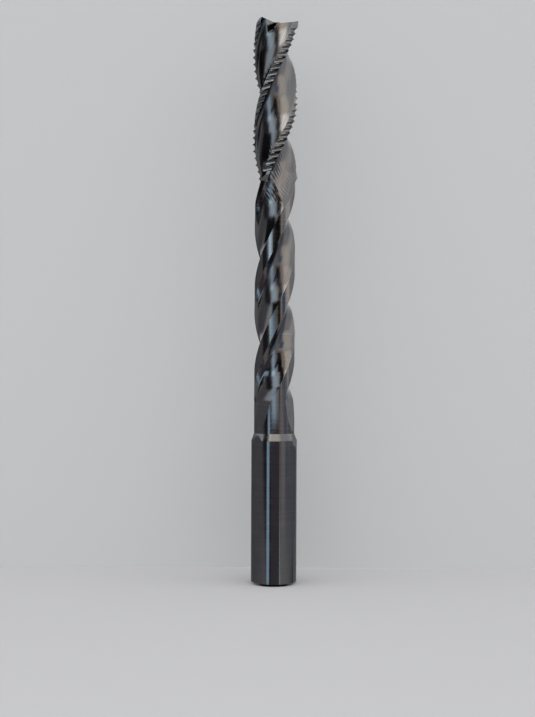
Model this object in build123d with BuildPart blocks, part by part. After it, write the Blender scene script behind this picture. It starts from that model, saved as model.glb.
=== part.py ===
from build123d import *
import math
import os

# Upcut router bit: three helical flutes, a necked shank and a serrated cutting part.
# One piece of ground carbide, standing on its shank end, with the cutting end up.
# The origin is the centre of the shank end, and Z runs along the axis of rotation.

# Blank, in millimetres
overall_length = 156.0
shank_diameter = 12.7
shank_length = 39.8
shank_chamfer = 0.7
shoulder_length = 1.9
neck_diameter = 11.25
cutting_diameter = 12.7
cutting_length = 43.2
step_length = 1.6

# Helix that all flutes follow, in millimetres and degrees
flute_count = 3
helix_lead = 70.5
phase_height = 86.8
hook_angle = 8.0

# Flutes along the neck, which ramp out through the shoulder at their lower ends
neck_flute_start = 51.6
neck_ramp_angle = 10.0
neck_web_diameter = 7.8
neck_back_angle = 40.0
neck_edge_lead = 1.5
neck_root_radius = 2.7

# Deeper flutes of the cutting part, with their relieved lands and the wheel that ground them
cutting_flute_start = 114.4
wheel_radius = 30.0
cutting_web_diameter = 6.9
cutting_back_angle = 43.0
cutting_root_radius = 1.5
land_relief_angle = 24.0

# Serrations along each cutting edge
serration_pitch = 1.77
serration_depth = 0.6
serration_mouth = 1.6
serration_floor = 0.5
serration_tilt = 9.0
serration_fall = 7.0
serration_end_gap = 1.2

# End teeth
dish_angle = 2.5
end_land_width = 0.9
end_relief_angle = 8.0
end_clearance_angle = 21.0
gash_depth = 1.9
gash_width = 1.6
gash_fall_angle = 30.0
gash_wall_angle = 20.0
gash_radius = 0.6
gash_overrun = 0.4

shank_radius = shank_diameter / 2
neck_radius = neck_diameter / 2
cutting_radius = cutting_diameter / 2
largest_radius = max(shank_radius, cutting_radius)
neck_start = shank_length + shoulder_length
cutting_start = overall_length - cutting_length
tooth_angle = 360 / flute_count
clear_cut = 1.5


def edge_angle(height):
    """Direction of the first cutting edge at a height."""
    return 360 * (height - phase_height) / helix_lead


def direction(angle):
    """Unit vector in the plane across the axis."""
    turn = math.radians(angle)
    return Vector(math.cos(turn), math.sin(turn), 0)


def flute_section(plane, web_radius, back_angle, root_radius):
    """Section of one flute: the hooked rake line, the round root and the back of the next tooth."""
    edge = Vector(cutting_radius, 0, 0)
    rake_inward = direction(180 + hook_angle)
    reach = cutting_radius * math.cos(math.radians(back_angle)) - web_radius
    root = edge + rake_inward * (reach / math.cos(math.radians(back_angle - hook_angle)))
    far = 2 * largest_radius
    back_end = root + direction(back_angle + 90) * far
    with BuildSketch(plane) as section:
        with BuildLine():
            Polyline(
                root,
                back_end,
                back_end + Vector(0, clear_cut, 0),
                (far, back_end.Y + clear_cut),
                edge - rake_inward * (far - cutting_radius),
                root,
            )
        make_face()
        root_vertex = section.vertices().sort_by_distance(root)[0]
        fillet(root_vertex, radius=root_radius)
    return section.sketch


def helical_guide(start, end):
    """Straight path along the axis, and the helix that turns a section on its way."""
    with BuildLine() as path:
        Line((0, 0, start), (0, 0, end))
    with BuildLine() as guide:
        Helix(pitch=helix_lead, height=end - start, radius=1, center=(0, 0, start))
    return path.line, guide.edge()


def helical_flute(section, start, end):
    """Sweep of a flute section along its helix."""
    path, guide = helical_guide(start, end)
    with BuildPart() as flute:
        sweep(sections=section, path=path, binormal=guide)
    return flute.part


def cut_neck_flute():
    """One flute of the neck, with the straight ramp at its lower end."""
    web_radius = neck_web_diameter / 2
    first_angle = edge_angle(neck_flute_start) + neck_edge_lead
    plane = Plane.XY.offset(neck_flute_start).rotated((0, 0, first_angle))
    section = flute_section(plane, web_radius, neck_back_angle, neck_root_radius)
    ramp = math.radians(neck_ramp_angle)
    outward = direction(first_angle + neck_back_angle)
    ramp_length = (largest_radius + clear_cut - web_radius) / math.sin(ramp)
    with BuildPart() as flute:
        add(helical_flute(section, neck_flute_start, cutting_flute_start + clear_cut))
        extrude(section, amount=ramp_length, dir=outward * math.sin(ramp) - Vector(0, 0, math.cos(ramp)))
    return flute.part


def cut_cutting_flute():
    """One flute of the cutting part, with the run-out that the wheel leaves."""
    web_radius = cutting_web_diameter / 2
    first_angle = edge_angle(cutting_flute_start)
    plane = Plane.XY.offset(cutting_flute_start).rotated((0, 0, first_angle))
    section = flute_section(plane, web_radius, cutting_back_angle, cutting_root_radius)
    exit_angle = first_angle + cutting_back_angle
    wheel_centre = direction(exit_angle) * (web_radius + wheel_radius) + Vector(0, 0, cutting_flute_start)
    exit_rise = (largest_radius + clear_cut - web_radius) / wheel_radius
    with BuildPart() as flute:
        add(helical_flute(section, cutting_flute_start, overall_length + clear_cut))
        revolve(
            section,
            axis=Axis(wheel_centre, direction(exit_angle - 90)),
            revolution_arc=math.degrees(math.acos(1 - exit_rise)),
        )
    return flute.part


def cut_land_relief(start, end):
    """Clearance that falls away behind one cutting edge."""
    plane = Plane.XY.offset(start).rotated((0, 0, edge_angle(start)))
    edge = Vector(cutting_radius, 0, 0)
    fall = direction(270 - land_relief_angle)
    chord = 2 * cutting_radius * math.sin(math.radians(land_relief_angle))
    outward = direction(-land_relief_angle) * clear_cut
    with BuildSketch(plane) as section:
        with BuildLine():
            Polyline(
                edge - fall * clear_cut,
                edge + fall * (chord + clear_cut),
                edge + fall * (chord + clear_cut) + outward,
                edge - fall * clear_cut + outward,
                edge - fall * clear_cut,
            )
        make_face()
    path, guide = helical_guide(start, end)
    with BuildPart() as relief:
        sweep(sections=section.sketch, path=path, binormal=guide)
    return relief.part


def end_plane(tooth, fall_angle, depth):
    """Plane across one end tooth: X points where the tooth cuts, and Y is nearly upwards."""
    angle = edge_angle(overall_length) + tooth_angle * tooth
    fall = math.radians(fall_angle)
    outwards = direction(angle) * math.cos(fall) - Vector(0, 0, math.sin(fall))
    centre = Vector(0, 0, overall_length - depth)
    return Plane(origin=centre, x_dir=direction(angle + 90), z_dir=outwards)


def cut_end_relief(tooth):
    """Narrow relieved land behind one end edge, and the steeper clearance behind that."""
    dish_depth = cutting_radius * math.tan(math.radians(dish_angle))
    land_slope = math.tan(math.radians(end_relief_angle))
    clearance_slope = math.tan(math.radians(end_clearance_angle))
    land_drop = end_land_width * land_slope
    far = 2 * cutting_radius
    top = 2 * dish_depth + clear_cut
    with BuildPart() as relief:
        with BuildSketch(end_plane(tooth, -dish_angle, dish_depth)):
            with BuildLine():
                Polyline(
                    (clear_cut, clear_cut * land_slope),
                    (-end_land_width, -land_drop),
                    (-far, -land_drop - (far - end_land_width) * clearance_slope),
                    (-far, top),
                    (clear_cut, top),
                    (clear_cut, clear_cut * land_slope),
                )
            make_face()
        extrude(amount=far)
    return relief.part


def cut_gash(tooth):
    """Chip space in front of one end edge, from just past the centre out into the flute."""
    wall_slope = math.tan(math.radians(gash_wall_angle))
    height = gash_depth + cutting_radius
    plane = end_plane(tooth, gash_fall_angle, gash_depth)
    with BuildPart() as gash:
        with BuildSketch(plane.offset(-gash_overrun)) as profile:
            with BuildLine():
                Polyline(
                    (0, 0),
                    (gash_width, 0),
                    (gash_width + height * wall_slope, height),
                    (0, height),
                    (0, 0),
                )
            make_face()
            bottom = profile.vertices().group_by(Axis.Y)[0]
            fillet(bottom, radius=gash_radius)
        extrude(amount=2 * cutting_radius)
    return gash.part


def cut_serration():
    """One flat-bottomed groove along Y, with the cutting circle at X = 0."""
    spread = (serration_mouth - serration_floor) / 2 / serration_depth
    top = serration_mouth / 2 + clear_cut * spread
    with BuildPart() as groove:
        with BuildSketch(Plane.XZ.offset(-cutting_radius / 2)):
            with BuildLine():
                Polyline(
                    (-serration_depth, -serration_floor / 2),
                    (-serration_depth, serration_floor / 2),
                    (clear_cut, top),
                    (clear_cut, -top),
                    (-serration_depth, -serration_floor / 2),
                )
            make_face()
        extrude(amount=cutting_radius)
    return groove.part


def serration_places():
    """Places of the grooves, one row along each cutting edge."""
    first = cutting_start + serration_end_gap
    count = int((overall_length - serration_end_gap - first) / serration_pitch)
    places = []
    for tooth in range(flute_count):
        stagger = serration_pitch * tooth / flute_count
        for groove in range(count):
            height = first + stagger + groove * serration_pitch
            angle = edge_angle(height) + tooth_angle * tooth
            outward = direction(angle - serration_fall)
            upward = direction(angle - serration_fall - 90) * math.sin(math.radians(serration_tilt))
            upward += Vector(0, 0, math.cos(math.radians(serration_tilt)))
            centre = direction(angle) * cutting_radius + Vector(0, 0, height)
            places.append(Plane(origin=centre, x_dir=outward, z_dir=upward).location)
    return places


neck_flute = cut_neck_flute()
cutting_flute = cut_cutting_flute()
land_relief = cut_land_relief(cutting_start - step_length, overall_length + clear_cut)

# Turned blank: chamfered shank, shoulder, neck, step and cutting part
with BuildPart() as router_bit:
    with BuildSketch(Plane.XZ):
        with BuildLine():
            Polyline(
                (0, 0),
                (shank_radius - shank_chamfer, 0),
                (shank_radius, shank_chamfer),
                (shank_radius, shank_length),
                (neck_radius, neck_start),
                (neck_radius, cutting_start - step_length),
                (cutting_radius, cutting_start),
                (cutting_radius, overall_length),
                (0, overall_length),
                (0, 0),
            )
        make_face()
    revolve(axis=Axis.Z)

    for tooth in range(flute_count):
        turn = Rotation(0, 0, tooth_angle * tooth)
        add(turn * neck_flute, mode=Mode.SUBTRACT)
        add(turn * cutting_flute, mode=Mode.SUBTRACT)
        add(turn * land_relief, mode=Mode.SUBTRACT)
        add(cut_end_relief(tooth), mode=Mode.SUBTRACT)
        add(cut_gash(tooth), mode=Mode.SUBTRACT)

    # Grooves that break the chips
    with Locations(*serration_places()):
        add(cut_serration(), mode=Mode.SUBTRACT)

router_bit.part.label = "router_bit"
os.makedirs("parts", exist_ok=True)
export_step(router_bit.part, "parts/router_bit.step")
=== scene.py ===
import math

import bmesh
import bpy
from mathutils import Matrix, Vector


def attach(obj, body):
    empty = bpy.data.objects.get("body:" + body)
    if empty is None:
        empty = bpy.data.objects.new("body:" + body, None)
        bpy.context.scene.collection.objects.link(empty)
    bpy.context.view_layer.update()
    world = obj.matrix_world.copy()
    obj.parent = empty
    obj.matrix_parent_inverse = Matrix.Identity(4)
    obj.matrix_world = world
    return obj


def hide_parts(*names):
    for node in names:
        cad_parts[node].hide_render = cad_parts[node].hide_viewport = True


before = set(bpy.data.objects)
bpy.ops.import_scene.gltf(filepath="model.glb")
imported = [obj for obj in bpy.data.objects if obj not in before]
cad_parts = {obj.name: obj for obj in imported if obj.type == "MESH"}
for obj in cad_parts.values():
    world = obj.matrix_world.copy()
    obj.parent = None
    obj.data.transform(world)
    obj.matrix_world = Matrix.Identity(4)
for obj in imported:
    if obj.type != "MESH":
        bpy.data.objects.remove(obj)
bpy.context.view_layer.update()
print("frame loaded")


# Driving sizes, in millimetres. The bit is modelled in them, and scaled once it is whole.

bit = {
    "length": 156.0,
    "shankRadius": 6.35,
    "shankLength": 39.8,
    "shankChamfer": 0.7,
    "shoulderLength": 1.9,
    "neckRadius": 5.625,
    "cuttingRadius": 6.35,
    "cuttingLength": 43.2,
    "stepLength": 1.6,
    "overcut": 1.5,
}
cuttingStart = bit["length"] - bit["cuttingLength"]
stepStart = cuttingStart - bit["stepLength"]
cutTop = bit["length"] + bit["overcut"]
millimetre = 0.001


# Helix: the edge angle is that of the first cutting edge, which turns with the height

helix = {"lead": 70.5, "phaseHeight": 86.8, "teeth": 3, "toothAngle": 120.0}


def edgeAngle(height):
    return 360 * (height - helix["phaseHeight"]) / helix["lead"]


def heightsBetween(start, end, step):
    count = max(1, round(abs(end - start) / step))
    return [start + (end - start) * place / count for place in range(count + 1)]


def slope(angle):
    return math.tan(math.radians(angle))


def pointing(angle):
    turn = math.radians(angle)
    return Vector((math.cos(turn), math.sin(turn), 0))


# Modelling helpers

joining = {"cornerReach": 0.001, "weld": 0.0001, "lastWeld": 0.002, "smoothAngle": 17}


def clearSelection():
    if bpy.context.object and bpy.context.object.mode != "OBJECT":
        bpy.ops.object.mode_set(mode="OBJECT")
    bpy.ops.object.select_all(action="DESELECT")


def makeActive(piece):
    clearSelection()
    piece.select_set(True)
    bpy.context.view_layer.objects.active = piece


def openMesh(piece):
    makeActive(piece)
    bpy.ops.object.mode_set(mode="EDIT")
    bpy.ops.mesh.select_all(action="SELECT")


def closeMesh():
    bpy.ops.object.mode_set(mode="OBJECT")


def flatOutline(name, corners):
    clearSelection()
    bpy.ops.mesh.primitive_circle_add(vertices=len(corners), radius=1, fill_type="NGON")
    outline = bpy.context.object
    outline.name = name
    for vertex, corner in zip(outline.data.vertices, corners):
        vertex.co = corner
    return outline


def roundCorners(outline, corners, offset, segments):
    openMesh(outline)
    bpy.ops.mesh.select_all(action="DESELECT")
    bpy.ops.mesh.select_mode(type="VERT")
    mesh = bmesh.from_edit_mesh(outline.data)
    for vertex in mesh.verts:
        distances = [(vertex.co - corner).length for corner in corners]
        vertex.select = min(distances) < joining["cornerReach"]
    mesh.select_flush_mode()
    bmesh.update_edit_mesh(outline.data)
    bpy.ops.mesh.bevel(offset=offset, segments=segments, affect="VERTICES")
    closeMesh()


def closeSkin(piece):
    openMesh(piece)
    bpy.ops.mesh.remove_doubles(threshold=joining["weld"])
    bpy.ops.mesh.normals_make_consistent(inside=False)
    closeMesh()


def extrudeOnce(outline, along):
    openMesh(outline)
    bpy.ops.mesh.extrude_region_move(TRANSFORM_OT_translate={"value": along})
    closeMesh()
    closeSkin(outline)


def turnSelection(angle):
    # The operator turns clockwise for a positive value
    turn = -math.radians(angle)
    bpy.ops.transform.rotate(value=turn, orient_axis="Z", center_override=(0, 0, 0))


def extrudeAlong(outline, stations, lift):
    height, turn, push = stations[0]
    openMesh(outline)
    turnSelection(turn)
    bpy.ops.transform.translate(value=pointing(turn + lift) * push + Vector((0, 0, height)))
    for newHeight, newTurn, newPush in stations[1:]:
        back = Vector((0, 0, newHeight - height)) - pointing(turn + lift) * push
        bpy.ops.mesh.extrude_region_move(TRANSFORM_OT_translate={"value": back})
        turnSelection(newTurn - turn)
        bpy.ops.transform.translate(value=pointing(newTurn + lift) * newPush)
        height, turn, push = newHeight, newTurn, newPush
    bpy.ops.mesh.select_all(action="SELECT")
    bpy.ops.mesh.quads_convert_to_tris(quad_method="SHORTEST_DIAGONAL", ngon_method="BEAUTY")
    closeMesh()
    closeSkin(outline)


def placedCopy(piece, place):
    copy = piece.copy()
    copy.data = piece.data.copy()
    copy.data.transform(place)
    bpy.context.collection.objects.link(copy)
    return copy


def joinAll(pieces):
    clearSelection()
    for piece in pieces:
        piece.select_set(True)
    bpy.context.view_layer.objects.active = pieces[0]
    bpy.ops.object.join()
    return pieces[0]


def cutAway(piece, cutter, finish):
    # A cut face takes the material of its cutter
    cutter.data.materials.append(finish)
    modifier = piece.modifiers.new("cut", "BOOLEAN")
    modifier.operation = "DIFFERENCE"
    modifier.solver = "MANIFOLD"
    modifier.object = cutter
    makeActive(piece)
    bpy.ops.object.modifier_apply(modifier="cut")
    bpy.data.objects.remove(cutter)
    print("cut", len(piece.data.polygons))


def cutEachTooth(piece, cutter, finish):
    angles = [math.radians(helix["toothAngle"] * tooth) for tooth in range(helix["teeth"])]
    copies = [placedCopy(cutter, Matrix.Rotation(angle, 4, "Z")) for angle in angles]
    bpy.data.objects.remove(cutter)
    for copy in copies:
        cutAway(piece, copy, finish)


# Shader tree helpers: an input given as a socket is linked, and any other value is set

def addNode(tree, kind, inputs=None, **settings):
    node = tree.nodes.new(kind)
    for name, value in settings.items():
        setattr(node, name, value)
    for socket, value in (inputs or {}).items():
        if isinstance(value, bpy.types.NodeSocket):
            tree.links.new(value, node.inputs[socket])
        else:
            node.inputs[socket].default_value = value
    return node


def calculate(tree, operation, *values):
    inputs = dict(enumerate(values))
    return addNode(tree, "ShaderNodeMath", inputs, operation=operation).outputs[0]


def measure(tree, operation, *values):
    inputs = dict(enumerate(values))
    node = addNode(tree, "ShaderNodeVectorMath", inputs, operation=operation)
    return node.outputs["Value" if operation == "DOT_PRODUCT" else "Vector"]


def smoothRange(tree, value, low, high, start=0.0, end=1.0):
    inputs = {"Value": value, "From Min": low, "From Max": high, "To Min": start, "To Max": end}
    node = addNode(tree, "ShaderNodeMapRange", inputs, interpolation_type="SMOOTHSTEP")
    return node.outputs["Result"]


def blendColours(tree, share, under, over):
    inputs = {0: share, 6: under, 7: over}
    return addNode(tree, "ShaderNodeMix", inputs, data_type="RGBA").outputs[2]


def newGroup(name, inputs, outputs):
    tree = bpy.data.node_groups.new(name, "ShaderNodeTree")
    for side, labels in (("INPUT", inputs), ("OUTPUT", outputs)):
        for label in labels:
            tree.interface.new_socket(name=label, in_out=side, socket_type="NodeSocketFloat")
    given = addNode(tree, "NodeGroupInput").outputs
    wanted = addNode(tree, "NodeGroupOutput").inputs
    return tree, given, wanted


def useGroup(tree, group, inputs):
    return addNode(tree, "ShaderNodeGroup", inputs, node_tree=group).outputs


def objectPlace(tree):
    return addNode(tree, "ShaderNodeTexCoord").outputs["Object"]


def splitPlace(tree, place):
    return addNode(tree, "ShaderNodeSeparateXYZ", {0: place}).outputs


# Grinding lines: fine scratches that follow the helix, or the rings of a turned face where
# the twist is 0. Each layer has the scale and the detail of its noise.

grinding = {"roughness": 0.6, "layers": {"Fine": (1.0, 3.0), "Coarse": (0.22, 2.0)}}


def makeGrindLines():
    tree, given, wanted = newGroup("grindLines", ["Twist", "Across", "Along"], grinding["layers"])
    place = objectPlace(tree)
    height = splitPlace(tree, place)["Z"]
    turn = calculate(tree, "MULTIPLY", calculate(tree, "MULTIPLY", height, given["Twist"]), -1.0)
    inputs = {"Vector": place, "Angle": turn}
    untwisted = addNode(tree, "ShaderNodeVectorRotate", inputs, rotation_type="Z_AXIS")
    inputs = {"X": given["Across"], "Y": given["Across"], "Z": given["Along"]}
    stretch = addNode(tree, "ShaderNodeCombineXYZ", inputs).outputs["Vector"]
    drawn = measure(tree, "MULTIPLY", untwisted.outputs["Vector"], stretch)
    for label, (scale, detail) in grinding["layers"].items():
        inputs = {"Vector": drawn, "Scale": scale, "Detail": detail}
        inputs["Roughness"] = grinding["roughness"]
        noise = addNode(tree, "ShaderNodeTexNoise", inputs)
        tree.links.new(noise.outputs["Fac"], wanted[label])
    return tree


# Handling marks: faint cloudy stains, and a few small pits left in the ground face

handling = {
    "cloudDetail": 4.0,
    "cloudRoughness": 0.62,
    "stainRange": (0.42, 0.72),
    "pitCore": 0.02,
    "pittedRange": (0.7, 0.8),
}


def makeHandling():
    inputs = ["Cloud Scale", "Pit Scale", "Pit Size"]
    tree, given, wanted = newGroup("handlingMarks", inputs, ["Stain", "Pit"])
    place = objectPlace(tree)
    inputs = {"Vector": place, "Scale": given["Cloud Scale"]}
    inputs["Detail"] = handling["cloudDetail"]
    inputs["Roughness"] = handling["cloudRoughness"]
    cloud = addNode(tree, "ShaderNodeTexNoise", inputs).outputs["Fac"]
    tree.links.new(smoothRange(tree, cloud, *handling["stainRange"]), wanted["Stain"])
    inputs = {"Vector": place, "Scale": given["Pit Scale"], "Randomness": 1.0}
    cells = addNode(tree, "ShaderNodeTexVoronoi", inputs)
    chosen = addNode(tree, "ShaderNodeSeparateColor", {0: cells.outputs["Color"]}).outputs[0]
    distance = cells.outputs["Distance"]
    near = smoothRange(tree, distance, handling["pitCore"], given["Pit Size"], 1.0, 0.0)
    pitted = smoothRange(tree, chosen, *handling["pittedRange"])
    tree.links.new(calculate(tree, "MULTIPLY", near, pitted), wanted["Pit"])
    return tree


# Painted highlight: thin bright lines where two ground faces meet, standing in for light glinting
# off the edges

edgeGlint = {"radius": 0.00016, "samples": 6}


def makeEdgeGlint():
    tree, given, wanted = newGroup("edgeGlint", ["Low", "High"], ["Mask"])
    inputs = {"Radius": edgeGlint["radius"]}
    bevel = addNode(tree, "ShaderNodeBevel", inputs, samples=edgeGlint["samples"])
    flat = addNode(tree, "ShaderNodeNewGeometry").outputs["Normal"]
    likeness = measure(tree, "DOT_PRODUCT", bevel.outputs["Normal"], flat)
    bend = calculate(tree, "SUBTRACT", 1.0, likeness)
    tree.links.new(smoothRange(tree, bend, given["Low"], given["High"]), wanted["Mask"])
    return tree


# Feed marks: slanted ridges that the wheel left where the cutting flutes run out

feed = {
    "pitch": 0.0016,
    "slant": 1.14,
    "radius": 0.006,
    "top": 0.122,
    "topFade": 0.003,
    "bottom": 0.104,
    "bottomFade": 0.004,
}


def makeFeedMarks():
    tree, _, wanted = newGroup("feedMarks", [], ["Ridge"])
    place = splitPlace(tree, objectPlace(tree))
    height = place["Z"]
    around = calculate(tree, "ARCTAN2", place["Y"], place["X"])
    rising = calculate(tree, "MULTIPLY_ADD", around, feed["slant"] * feed["radius"], height)
    phase = calculate(tree, "MULTIPLY", rising, 2 * math.pi / feed["pitch"])
    wave = calculate(tree, "SINE", phase)
    below = smoothRange(tree, height, feed["top"] - feed["topFade"], feed["top"], 1.0, 0.0)
    above = smoothRange(tree, height, feed["bottom"], feed["bottom"] + feed["bottomFade"])
    shown = calculate(tree, "MULTIPLY", below, above)
    tree.links.new(calculate(tree, "MULTIPLY", wave, shown), wanted["Ridge"])
    return tree


# Finishes: one carbide, marked in its own way by each wheel that ground it.
# The twist is in radians a metre, and across and along are noise cells a metre.

carbideLook = {
    "cloudScale": 190.0,
    "pitScale": 330.0,
    "pitSize": 0.09,
    "glintLow": 0.015,
    "glintHigh": 0.12,
    "fineRange": (0.3, 0.7),
    "fineShare": 0.45,
    "coarseRange": (0.32, 0.68),
    "coarseShare": 0.55,
    "stainShare": 0.35,
    "stainColour": (0.16, 0.156, 0.152, 1),
    "stainRoughness": 0.06,
    "pitColour": (0.02, 0.02, 0.022, 1),
    "pitRoughness": 0.4,
    "bumpDistance": 0.00006,
    "specularTint": (0.55, 0.56, 0.58, 1),
}
helixTwist = 2 * math.pi / (helix["lead"] * millimetre)
# Each finish's edge colour is a painted highlight laid along the ground edges
finishes = {
    "turnedCarbide": {
        "dark": (0.108, 0.11, 0.114, 1),
        "light": (0.145, 0.145, 0.15, 1),
        "edge": (0.3, 0.3, 0.31, 1),
        "roughness": (0.06, 0.11),
        "twist": 0.0,
        "across": 60.0,
        "along": 7000.0,
        "bump": 0.04,
        "fed": 0.0,
    },
    "fluteCarbide": {
        "dark": (0.10, 0.102, 0.106, 1),
        "light": (0.155, 0.155, 0.158, 1),
        "edge": (0.33, 0.33, 0.34, 1),
        "roughness": (0.09, 0.16),
        "twist": helixTwist,
        "across": 5200.0,
        "along": 70.0,
        "bump": 0.15,
        "fed": 0.9,
    },
    "landCarbide": {
        "dark": (0.108, 0.11, 0.114, 1),
        "light": (0.15, 0.15, 0.154, 1),
        "edge": (0.33, 0.33, 0.34, 1),
        "roughness": (0.06, 0.11),
        "twist": helixTwist,
        "across": 6500.0,
        "along": 110.0,
        "bump": 0.08,
        "fed": 0.0,
    },
    "serrationCarbide": {
        "dark": (0.12, 0.12, 0.124, 1),
        "light": (0.17, 0.17, 0.173, 1),
        "edge": (0.36, 0.36, 0.36, 1),
        "roughness": (0.1, 0.18),
        "twist": 0.0,
        "across": 1500.0,
        "along": 5000.0,
        "bump": 0.03,
        "fed": 0.0,
    },
}


def makeFinish(name, finish, groups):
    look = carbideLook
    material = bpy.data.materials.new(name)
    material.use_nodes = True
    tree = material.node_tree
    shader = tree.nodes["Principled BSDF"]
    inputs = {"Twist": finish["twist"], "Across": finish["across"], "Along": finish["along"]}
    lines = useGroup(tree, groups["lines"], inputs)
    inputs = {"Cloud Scale": look["cloudScale"], "Pit Scale": look["pitScale"]}
    inputs["Pit Size"] = look["pitSize"]
    marks = useGroup(tree, groups["marks"], inputs)
    inputs = {"Low": look["glintLow"], "High": look["glintHigh"]}
    glint = useGroup(tree, groups["glint"], inputs)["Mask"]
    scratched = smoothRange(tree, lines["Fine"], *look["fineRange"])
    brushed = smoothRange(tree, lines["Coarse"], *look["coarseRange"])
    tone = calculate(tree, "MULTIPLY", scratched, look["fineShare"])
    tone = calculate(tree, "MULTIPLY_ADD", brushed, look["coarseShare"], tone)
    colour = blendColours(tree, tone, finish["dark"], finish["light"])
    stained = calculate(tree, "MULTIPLY", marks["Stain"], look["stainShare"])
    colour = blendColours(tree, stained, colour, look["stainColour"])
    colour = blendColours(tree, marks["Pit"], colour, look["pitColour"])
    # Painted highlight: the edge colour brightens the ground edges like a glint of light
    colour = blendColours(tree, glint, colour, finish["edge"])
    low, high = finish["roughness"]
    inputs = {"Value": tone, "To Min": low, "To Max": high}
    rough = addNode(tree, "ShaderNodeMapRange", inputs).outputs[0]
    rough = calculate(tree, "MULTIPLY_ADD", marks["Stain"], look["stainRoughness"], rough)
    rough = calculate(tree, "MULTIPLY_ADD", marks["Pit"], look["pitRoughness"], rough)
    relief = calculate(tree, "SUBTRACT", tone, marks["Pit"])
    if finish["fed"]:
        ridge = useGroup(tree, groups["feed"], {})["Ridge"]
        relief = calculate(tree, "MULTIPLY_ADD", ridge, finish["fed"], relief)
    inputs = {"Strength": finish["bump"], "Distance": look["bumpDistance"], "Height": relief}
    bump = addNode(tree, "ShaderNodeBump", inputs)
    tree.links.new(colour, shader.inputs["Base Color"])
    tree.links.new(rough, shader.inputs["Roughness"])
    tree.links.new(bump.outputs["Normal"], shader.inputs["Normal"])
    shader.inputs["Metallic"].default_value = 1.0
    shader.inputs["Specular Tint"].default_value = look["specularTint"]
    return material


groups = {
    "lines": makeGrindLines(),
    "marks": makeHandling(),
    "glint": makeEdgeGlint(),
    "feed": makeFeedMarks(),
}
carbide = {name: makeFinish(name, finish, groups) for name, finish in finishes.items()}
print("finishes made", len(carbide))


# Turned blank: chamfered shank, shoulder, neck, step and cutting part

blank = {
    "sides": 240,
    "ringStep": 1.6,
    "profile": [
        (bit["shankRadius"] - bit["shankChamfer"], 0.0),
        (bit["shankRadius"], bit["shankChamfer"]),
        (bit["shankRadius"], bit["shankLength"]),
        (bit["neckRadius"], bit["shankLength"] + bit["shoulderLength"]),
        (bit["neckRadius"], stepStart),
        (bit["cuttingRadius"], cuttingStart),
        (bit["cuttingRadius"], bit["length"]),
    ],
}


def makeBlank():
    clearSelection()
    radius, height = blank["profile"][0]
    bpy.ops.mesh.primitive_circle_add(vertices=blank["sides"], radius=radius, fill_type="NGON")
    bar = bpy.context.object
    bar.name = "routerBit"
    openMesh(bar)
    for nextRadius, nextHeight in blank["profile"][1:]:
        rings = heightsBetween(height, nextHeight, blank["ringStep"])
        for low, high in zip(rings, rings[1:]):
            share = (high - height) / (nextHeight - height)
            wanted = radius + (nextRadius - radius) * share
            before = radius + (nextRadius - radius) * (low - height) / (nextHeight - height)
            growth = (wanted / before, wanted / before, 1)
            bpy.ops.mesh.extrude_region_move(TRANSFORM_OT_translate={"value": (0, 0, high - low)})
            bpy.ops.transform.resize(value=growth, center_override=(0, 0, high))
        radius, height = nextRadius, nextHeight
    closeMesh()
    closeSkin(bar)
    return bar


# Flutes: hooked rake line, round root and the back of the next tooth, ground along the helix.
# The neck's flutes ramp out through the shoulder, and the wheel's radius ends the cutting flutes.

neckFlute = {
    "top": 115.5,
    "web": 3.9,
    "backAngle": 40.0,
    "edgeLead": 1.5,
    "rootRadius": 2.7,
    "rakePoints": (2.6, 7.0, 14.0),
    "exitTurnEnd": 50.9,
    "exitStart": 52.8,
    "exitSlope": 0.165,
    "exitBlend": 1.6,
    "bottom": 35.5,
}

cuttingFlute = {
    "top": cutTop,
    "web": 3.45,
    "backAngle": 43.0,
    "rootRadius": 1.5,
    "rakePoints": (1.1, 1.5, 2.6, 7.0, 14.0),
    "start": 114.0,
    "wheelRadius": 30.0,
    "exitTurn": 2.7,
    "bottom": 101.0,
}

fluteForm = {
    "hook": 8.0,
    "ringStep": 0.3,
    "rootSegments": 14,
    "backStart": 0.4,
    "backStep": 1.1,
    "reach": 14.0,
}


def fluteOutline(name, flute):
    backAngle = flute["backAngle"]
    edge = Vector((bit["cuttingRadius"], 0, 0))
    inward = pointing(180 + fluteForm["hook"])
    opening = math.radians(backAngle - fluteForm["hook"])
    depth = bit["cuttingRadius"] * math.cos(math.radians(backAngle)) - flute["web"]
    root = edge + inward * (depth / math.cos(opening))
    tangent = flute["rootRadius"] * math.tan((math.pi / 2 - opening) / 2)
    reach = fluteForm["reach"]
    backStart = tangent + fluteForm["backStart"]
    backDistances = heightsBetween(backStart, reach, fluteForm["backStep"])
    along = pointing(backAngle + 90)
    corners = [root + along * distance for distance in backDistances]
    corners.append(root + along * reach - inward * reach)
    corners += [root - inward * distance for distance in reversed(flute["rakePoints"])]
    outline = flatOutline(name, corners + [root])
    roundCorners(outline, [root], tangent, fluteForm["rootSegments"])
    return outline


def neckPush(height):
    drop = neckFlute["exitStart"] - height
    blend = neckFlute["exitBlend"]
    if drop <= -blend:
        return 0.0
    if drop >= blend:
        return drop * neckFlute["exitSlope"]
    return neckFlute["exitSlope"] * (drop + blend) ** 2 / (4 * blend)


def makeNeckFlute():
    outline = fluteOutline("neckFluteCut", neckFlute)
    heights = heightsBetween(neckFlute["top"], neckFlute["bottom"], fluteForm["ringStep"])
    stations = []
    for height in heights:
        turn = edgeAngle(max(height, neckFlute["exitTurnEnd"])) + neckFlute["edgeLead"]
        stations.append((height, turn, neckPush(height)))
    extrudeAlong(outline, stations, neckFlute["backAngle"])
    return outline


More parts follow.
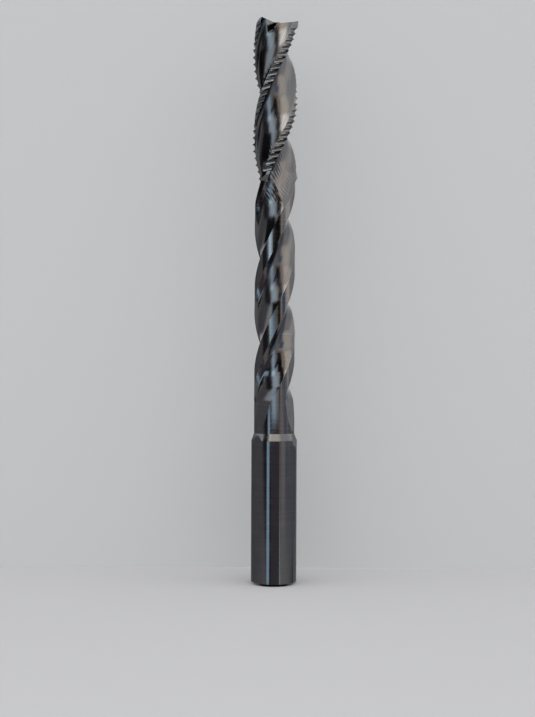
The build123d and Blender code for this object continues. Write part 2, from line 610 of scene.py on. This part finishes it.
def makeCuttingFlute():
    outline = fluteOutline("cuttingFluteCut", cuttingFlute)
    start = cuttingFlute["start"]
    wheel = cuttingFlute["wheelRadius"]
    heights = heightsBetween(cuttingFlute["top"], cuttingFlute["bottom"], fluteForm["ringStep"])
    stations = []
    for height in heights:
        drop = max(0, start - height)
        push = wheel - math.sqrt(wheel ** 2 - drop ** 2)
        turn = edgeAngle(max(height, start)) - drop * cuttingFlute["exitTurn"]
        stations.append((height, turn, push))
    extrudeAlong(outline, stations, cuttingFlute["backAngle"])
    return outline


# Lands: clearance behind each cutting edge, and a fine hone along each neck edge

lands = {
    "primaryAngle": 10.0,
    "primaryWidth": 0.8,
    "clearanceAngle": 29.0,
    "ringStep": 0.35,
}
hone = {"width": 0.26, "topGap": 0.2, "bottom": 52.0, "overcut": 0.8}


def helixStations(top, bottom, lead):
    heights = heightsBetween(top, bottom, lands["ringStep"])
    return [(height, edgeAngle(height) + lead, 0.0) for height in heights]


def makeLandRelief():
    edge = Vector((bit["cuttingRadius"], 0, 0))
    primary = pointing(270 - lands["primaryAngle"])
    clearance = pointing(270 - lands["clearanceAngle"])
    outward = pointing(-lands["clearanceAngle"]) * bit["overcut"]
    start = edge - primary * bit["overcut"]
    corner = edge + primary * lands["primaryWidth"]
    end = corner + clearance * bit["cuttingRadius"]
    floor = [start, corner, (corner + end) / 2, end]
    roof = [place + outward for place in (end, corner, start)]
    outline = flatOutline("landReliefCut", floor + roof)
    extrudeAlong(outline, helixStations(cutTop, stepStart, 0), 0)
    return outline


def makeHone():
    land = Vector((bit["neckRadius"], -hone["width"], 0))
    rake = Vector((bit["neckRadius"] - hone["width"], 0, 0))
    past = (land - rake).normalized() * hone["overcut"]
    outward = Vector((hone["overcut"], hone["overcut"], 0))
    corners = [rake - past, rake - past + outward, land + past + outward, land + past]
    outline = flatOutline("honeCut", corners)
    top = stepStart - hone["topGap"]
    extrudeAlong(outline, helixStations(top, hone["bottom"], neckFlute["edgeLead"]), 0)
    return outline


# End teeth: relief behind each end edge, and a gash in front of it

endTeeth = {
    "dish": 2.5,
    "landWidth": 0.9,
    "relief": 8.0,
    "clearance": 21.0,
    "gashDepth": 1.9,
    "gashWidth": 1.6,
    "gashFall": 30.0,
    "gashWall": 20.0,
    "gashRound": 0.45,
    "gashSegments": 8,
    "gashOverrun": 0.4,
}


def endPrism(name, fall, depth, setBack, corners, rounded):
    angle = edgeAngle(bit["length"])
    drop = math.radians(fall)
    outward = pointing(angle) * math.cos(drop) - Vector((0, 0, math.sin(drop)))
    ahead = pointing(angle + 90)
    upward = outward.cross(ahead)
    origin = Vector((0, 0, bit["length"] - depth)) - outward * setBack
    places = [origin + ahead * x + upward * y for x, y in corners]
    outline = flatOutline(name, places)
    if rounded:
        roundCorners(outline, places[:2], endTeeth["gashRound"], endTeeth["gashSegments"])
    extrudeOnce(outline, outward * 2 * bit["cuttingRadius"])
    return outline


def makeEndRelief():
    far = 2 * bit["cuttingRadius"]
    clear = bit["overcut"]
    dishDepth = bit["cuttingRadius"] * slope(endTeeth["dish"])
    landDrop = endTeeth["landWidth"] * slope(endTeeth["relief"])
    top = 2 * dishDepth + clear
    heelDrop = landDrop + (far - endTeeth["landWidth"]) * slope(endTeeth["clearance"])
    corners = [
        (clear, clear * slope(endTeeth["relief"])),
        (-endTeeth["landWidth"], -landDrop),
        (-far, -heelDrop),
        (-far, top),
        (clear, top),
    ]
    return endPrism("endReliefCut", -endTeeth["dish"], dishDepth, 0, corners, False)


def makeGash():
    depth = endTeeth["gashDepth"]
    width = endTeeth["gashWidth"]
    height = depth + bit["cuttingRadius"]
    mouth = width + height * slope(endTeeth["gashWall"])
    corners = [(0, 0), (width, 0), (mouth, height), (0, height)]
    return endPrism("gashCut", endTeeth["gashFall"], depth, endTeeth["gashOverrun"], corners, True)


# Serrations: round grooves across each cutting edge, staggered from tooth to tooth

serration = {
    "pitch": 1.77,
    "depth": 0.6,
    "radius": 0.83,
    "tilt": 9.0,
    "fall": 12.0,
    "endGap": 1.2,
    "sides": 36,
    "length": 7.0,
}


def makeSerrations():
    clearSelection()
    bpy.ops.mesh.primitive_cylinder_add(
        vertices=serration["sides"], radius=serration["radius"], depth=serration["length"]
    )
    groove = bpy.context.object
    first = cuttingStart + serration["endGap"]
    last = bit["length"] - serration["endGap"]
    count = int((last - first) / serration["pitch"])
    centreRadius = bit["cuttingRadius"] - serration["depth"] + serration["radius"]
    tilt = math.radians(serration["tilt"])
    pieces = []
    for tooth in range(helix["teeth"]):
        for index in range(count):
            height = first + serration["pitch"] * (index + tooth / helix["teeth"])
            angle = edgeAngle(height) + helix["toothAngle"] * tooth
            lean = angle - serration["fall"]
            outward = pointing(lean)
            along = pointing(lean + 90) * math.cos(tilt) + Vector((0, 0, math.sin(tilt)))
            place = Matrix((outward, along.cross(outward), along)).transposed().to_4x4()
            place.translation = pointing(angle) * centreRadius + Vector((0, 0, height))
            pieces.append(placedCopy(groove, place))
    bpy.data.objects.remove(groove)
    return joinAll(pieces)


routerBit = makeBlank()
routerBit.data.materials.append(carbide["turnedCarbide"])
print("blank turned", len(routerBit.data.polygons))
cutEachTooth(routerBit, makeNeckFlute(), carbide["fluteCarbide"])
print("neck flutes ground")
cutEachTooth(routerBit, makeHone(), carbide["landCarbide"])
cutEachTooth(routerBit, makeCuttingFlute(), carbide["fluteCarbide"])
cutEachTooth(routerBit, makeLandRelief(), carbide["landCarbide"])
cutEachTooth(routerBit, makeEndRelief(), carbide["landCarbide"])
cutEachTooth(routerBit, makeGash(), carbide["fluteCarbide"])
cutAway(routerBit, makeSerrations(), carbide["serrationCarbide"])
print("cutting part ground")

openMesh(routerBit)
bpy.ops.mesh.remove_doubles(threshold=joining["lastWeld"])
bpy.ops.mesh.dissolve_degenerate(threshold=joining["lastWeld"])
bpy.ops.mesh.normals_make_consistent(inside=False)
bpy.ops.transform.resize(value=(millimetre, millimetre, millimetre), center_override=(0, 0, 0))
closeMesh()
makeActive(routerBit)
bpy.ops.object.shade_smooth_by_angle(angle=math.radians(joining["smoothAngle"]))
print("bit finished", len(routerBit.data.polygons))

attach(routerBit, "root")
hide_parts("router_bit")


# Studio: a pale floor, and a pale wall close behind the bit that is clear from its back

studio = {
    "size": 1.6,
    "wallDistance": 0.025,
    "wallHeight": 0.8,
    "floor": {"colour": (0.625, 0.625, 0.64, 1), "roughness": 0.22, "sheen": 0.0},
    "wall": {"colour": (0.64, 0.645, 0.65, 1), "roughness": 0.6, "sheen": 0.1},
    "backdropColour": (0.5, 0.505, 0.505, 1),
    "backdropRadius": 3.0,
    "backdropSegments": 48,
    "backdropRings": 24,
}


def addStagePiece(name):
    piece = bpy.context.object
    piece.name = name
    material = bpy.data.materials.new(name + "Paint")
    material.use_nodes = True
    piece.data.materials.append(material)
    return piece, material.node_tree


def hideFrom(piece, rays):
    for ray in rays:
        setattr(piece, "visible_" + ray, False)


def paint(tree, coat):
    shader = tree.nodes["Principled BSDF"]
    shader.inputs["Base Color"].default_value = coat["colour"]
    shader.inputs["Roughness"].default_value = coat["roughness"]
    shader.inputs["Specular IOR Level"].default_value = coat["sheen"]
    return shader.outputs["BSDF"]


def showSurface(tree, surface):
    tree.links.new(surface, tree.nodes["Material Output"].inputs["Surface"])


def mixSurfaces(tree, share, first, second):
    inputs = {0: share, 1: first, 2: second}
    showSurface(tree, addNode(tree, "ShaderNodeMixShader", inputs).outputs["Shader"])


def makeFloor():
    clearSelection()
    bpy.ops.mesh.primitive_plane_add(size=studio["size"], location=(0, 0, 0))
    floor, tree = addStagePiece("floor")
    hideFrom(floor, ("glossy",))
    paint(tree, studio["floor"])


def makeWall():
    clearSelection()
    middle = (0, studio["wallDistance"], studio["wallHeight"] / 2)
    upright = (math.radians(90), 0, 0)
    bpy.ops.mesh.primitive_plane_add(size=1, location=middle, rotation=upright)
    bpy.ops.transform.resize(value=(studio["size"], 1, studio["wallHeight"]))
    wall, tree = addStagePiece("wall")
    hideFrom(wall, ("glossy",))
    front = paint(tree, studio["wall"])
    fromBack = addNode(tree, "ShaderNodeNewGeometry").outputs["Backfacing"]
    clear = addNode(tree, "ShaderNodeBsdfTransparent").outputs["BSDF"]
    mixSurfaces(tree, fromBack, front, clear)


def makeBackdrop():
    clearSelection()
    bpy.ops.mesh.primitive_uv_sphere_add(
        segments=studio["backdropSegments"],
        ring_count=studio["backdropRings"],
        radius=studio["backdropRadius"],
    )
    backdrop, tree = addStagePiece("backdrop")
    hideFrom(backdrop, ("diffuse", "glossy", "transmission", "shadow"))
    inputs = {"Color": studio["backdropColour"], "Strength": 1.0}
    showSurface(tree, addNode(tree, "ShaderNodeEmission", inputs).outputs["Emission"])


makeFloor()
makeWall()
makeBackdrop()
print("studio built")


# Reflector cards and dark flags: soft-edged, and seen only in reflections. A card has its
# azimuth from the camera's side, elevation, tilt, half length, half width and softness, all
# in degrees, and its colour. The room's steps are its tones from straight below to overhead.

room = {
    "level": 2.4,
    "steps": [
        (0.0, 0.01),
        (0.1, 0.02),
        (0.16, 0.25),
        (0.24, 0.22),
        (0.44, 0.25),
        (0.6, 0.48),
        (1.0, 0.5),
    ],
}
farCards = {
    "shadeLeft": (-100, -2, 0, 58, 15, 12, (0.13, 0.125, 0.135)),
    "sideHigh": (112, 20, 3, 42, 8, 12, (0.66, 0.63, 0.59)),
    "sideRight": (112, 5, 3, 42, 7, 8, (0.42, 0.41, 0.41)),
    "sideLow": (100, -7, 0, 42, 5, 7, (0.15, 0.15, 0.18)),
    "darkLeft": (-18, -27, 0, 42, 8, 8, (0.01, 0.01, 0.012)),
    "darkRight": (78, -24, 5, 38, 8, 8, (0.015, 0.015, 0.02)),
    "darkMiddle": (-40, -4, -20, 42, 8, 8, (0.025, 0.022, 0.025)),
    "overheadLeft": (-44, 47, -5, 25, 7, 8, (1.75, 1.65, 1.50)),
    "overheadMiddle": (6, 37, -20, 32, 10, 8, (0.90, 0.82, 0.73)),
    "overheadRight": (68, 14, -20, 26, 10, 10, (0.78, 0.70, 0.63)),
    "overheadEdge": (6, 24, -21, 30, 2, 4, (0.42, 0.23, 0.11)),
    "gapLeft": (-76, 38, -6, 30, 4, 6, (0.07, 0.065, 0.065)),
    "gapMiddle": (-36, 30, -17, 24, 5, 4, (0.015, 0.013, 0.012)),
    "gapRight": (6, 12, -21, 30, 6, 4, (0.006, 0.006, 0.006)),
    "bandLeft": (-90, 26, -3, 30, 4, 8, (0.50, 0.60, 0.72)),
    "bandMiddle": (-45, 15, -22, 28, 6, 6, (0.58, 0.72, 0.84)),
    "bandRight": (8, -7, -20, 30, 4, 5, (0.52, 0.70, 0.86)),
    "bandLow": (52, -21, -8, 12, 4, 6, (0.12, 0.18, 0.27)),
    "flag": (5, 5, 0, 17, 3, 3, (0.006, 0.006, 0.006)),
    "pane": (-27, 5, -14, 7, 3.5, 4, (0.95, 1.28, 1.42)),
    "brownDoor": (33, 2, 0, 2.5, 8, 3, (0.30, 0.16, 0.07)),
    "blueDoor": (53, 2, 0, 9, 5, 4, (0.11, 0.15, 0.22)),
}
shankCards = {
    "lowFlag": (6, -6, 0, 21, 17, 3, (0.075, 0.068, 0.078)),
    "lowPane": (-29, -4, 0, 6.5, 18, 3, (0.42, 0.60, 0.76)),
    "lowDoor": (33, -6, 0, 2.2, 17, 3, (0.24, 0.15, 0.10)),
}
tipCards = {
    "highShade": (-108, 0, 0, 40, 14, 4, (0.008, 0.008, 0.01)),
}
cardSets = [
    {"cards": farCards, "focus": (0, 0, 0.085), "distance": 2.0, "spacing": 0.02},
    {"cards": shankCards, "focus": (0, 0, 0.02), "distance": 0.1, "spacing": 0.002},
    {"cards": tipCards, "focus": (0, 0, 0.143), "distance": 0.1, "spacing": 0.002},
]


def makeSoftEdge():
    tree, given, wanted = newGroup("softEdge", ["Length", "Width"], ["Share"])
    place = splitPlace(tree, objectPlace(tree))
    shares = []
    for side, size in (("X", given["Length"]), ("Y", given["Width"])):
        away = calculate(tree, "ABSOLUTE", place[side])
        shares.append(smoothRange(tree, away, size, 1.0, 1.0, 0.0))
    tree.links.new(calculate(tree, "MULTIPLY", *shares), wanted["Share"])
    return tree


def aim(azimuth, elevation, tilt):
    rise = math.radians(elevation)
    lean = math.radians(tilt)
    level = pointing(azimuth)
    centre = pointing(azimuth - 90) * math.cos(rise) + Vector((0, 0, math.sin(rise)))
    upward = centre.cross(level)
    along = level * math.cos(lean) + upward * math.sin(lean)
    return centre, along, upward * math.cos(lean) - level * math.sin(lean)


def makeCard(name, card, focus, distance, softEdge):
    azimuth, elevation, tilt, length, width, softness, tint = card
    centre, along, across = aim(azimuth, elevation, tilt)
    fade = softness / 2
    halfLength = distance * slope(length + fade)
    halfWidth = distance * slope(width + fade)
    clearSelection()
    bpy.ops.mesh.primitive_plane_add(size=2)
    piece, tree = addStagePiece(name)
    axes = (along * halfLength, across * halfWidth, along.cross(across))
    place = Matrix(axes).transposed().to_4x4()
    place.translation = Vector(focus) + centre * distance
    piece.matrix_world = place
    hideFrom(piece, ("camera", "diffuse", "transmission", "shadow"))
    inputs = {
        "Length": slope(length - fade) / slope(length + fade),
        "Width": slope(width - fade) / slope(width + fade),
    }
    share = useGroup(tree, softEdge, inputs)["Share"]
    clear = addNode(tree, "ShaderNodeBsdfTransparent").outputs["BSDF"]
    inputs = {"Color": (*tint, 1), "Strength": room["level"]}
    glow = addNode(tree, "ShaderNodeEmission", inputs).outputs["Emission"]
    mixSurfaces(tree, share, clear, glow)
    piece.data.materials[0].cycles.emission_sampling = "NONE"


def makeCards():
    softEdge = makeSoftEdge()
    for cardSet in cardSets:
        for index, (name, card) in enumerate(cardSet["cards"].items()):
            distance = cardSet["distance"] - cardSet["spacing"] * index
            makeCard(name, card, cardSet["focus"], distance, softEdge)
        print("cards placed", len(cardSet["cards"]))


def makeRoom():
    world = bpy.data.worlds.new("room")
    bpy.context.scene.world = world
    world.use_nodes = True
    tree = world.node_tree
    direction = addNode(tree, "ShaderNodeTexCoord").outputs["Generated"]
    rise = splitPlace(tree, direction)["Z"]
    share = calculate(tree, "MULTIPLY_ADD", rise, 0.5, 0.5)
    ramp = addNode(tree, "ShaderNodeValToRGB", {0: share})
    steps = room["steps"]
    for position, _ in steps[1:-1]:
        ramp.color_ramp.elements.new(position)
    for element, (position, tone) in zip(ramp.color_ramp.elements, steps):
        element.position = position
        element.color = (tone, tone, tone, 1)
    light = tree.nodes["Background"]
    tree.links.new(ramp.outputs["Color"], light.inputs["Color"])
    light.inputs["Strength"].default_value = room["level"]


makeCards()
makeRoom()
print("room lit")


# Camera at the photograph's angle

view = {
    "distance": 0.335,
    "height": 0.0624,
    "side": -0.00192,
    "lens": 60.5,
    "roll": -0.23,
    "sensorWidth": 36,
    "clipStart": 0.01,
}
place = (view["side"], -view["distance"], view["height"])
turn = (math.radians(90), math.radians(view["roll"]), 0)
bpy.ops.object.camera_add(location=place, rotation=turn)
camera = bpy.context.object
camera.data.lens = view["lens"]
camera.data.sensor_width = view["sensorWidth"]
camera.data.clip_start = view["clipStart"]
bpy.context.scene.camera = camera
bpy.context.scene.view_settings.view_transform = "Standard"

print("finished")
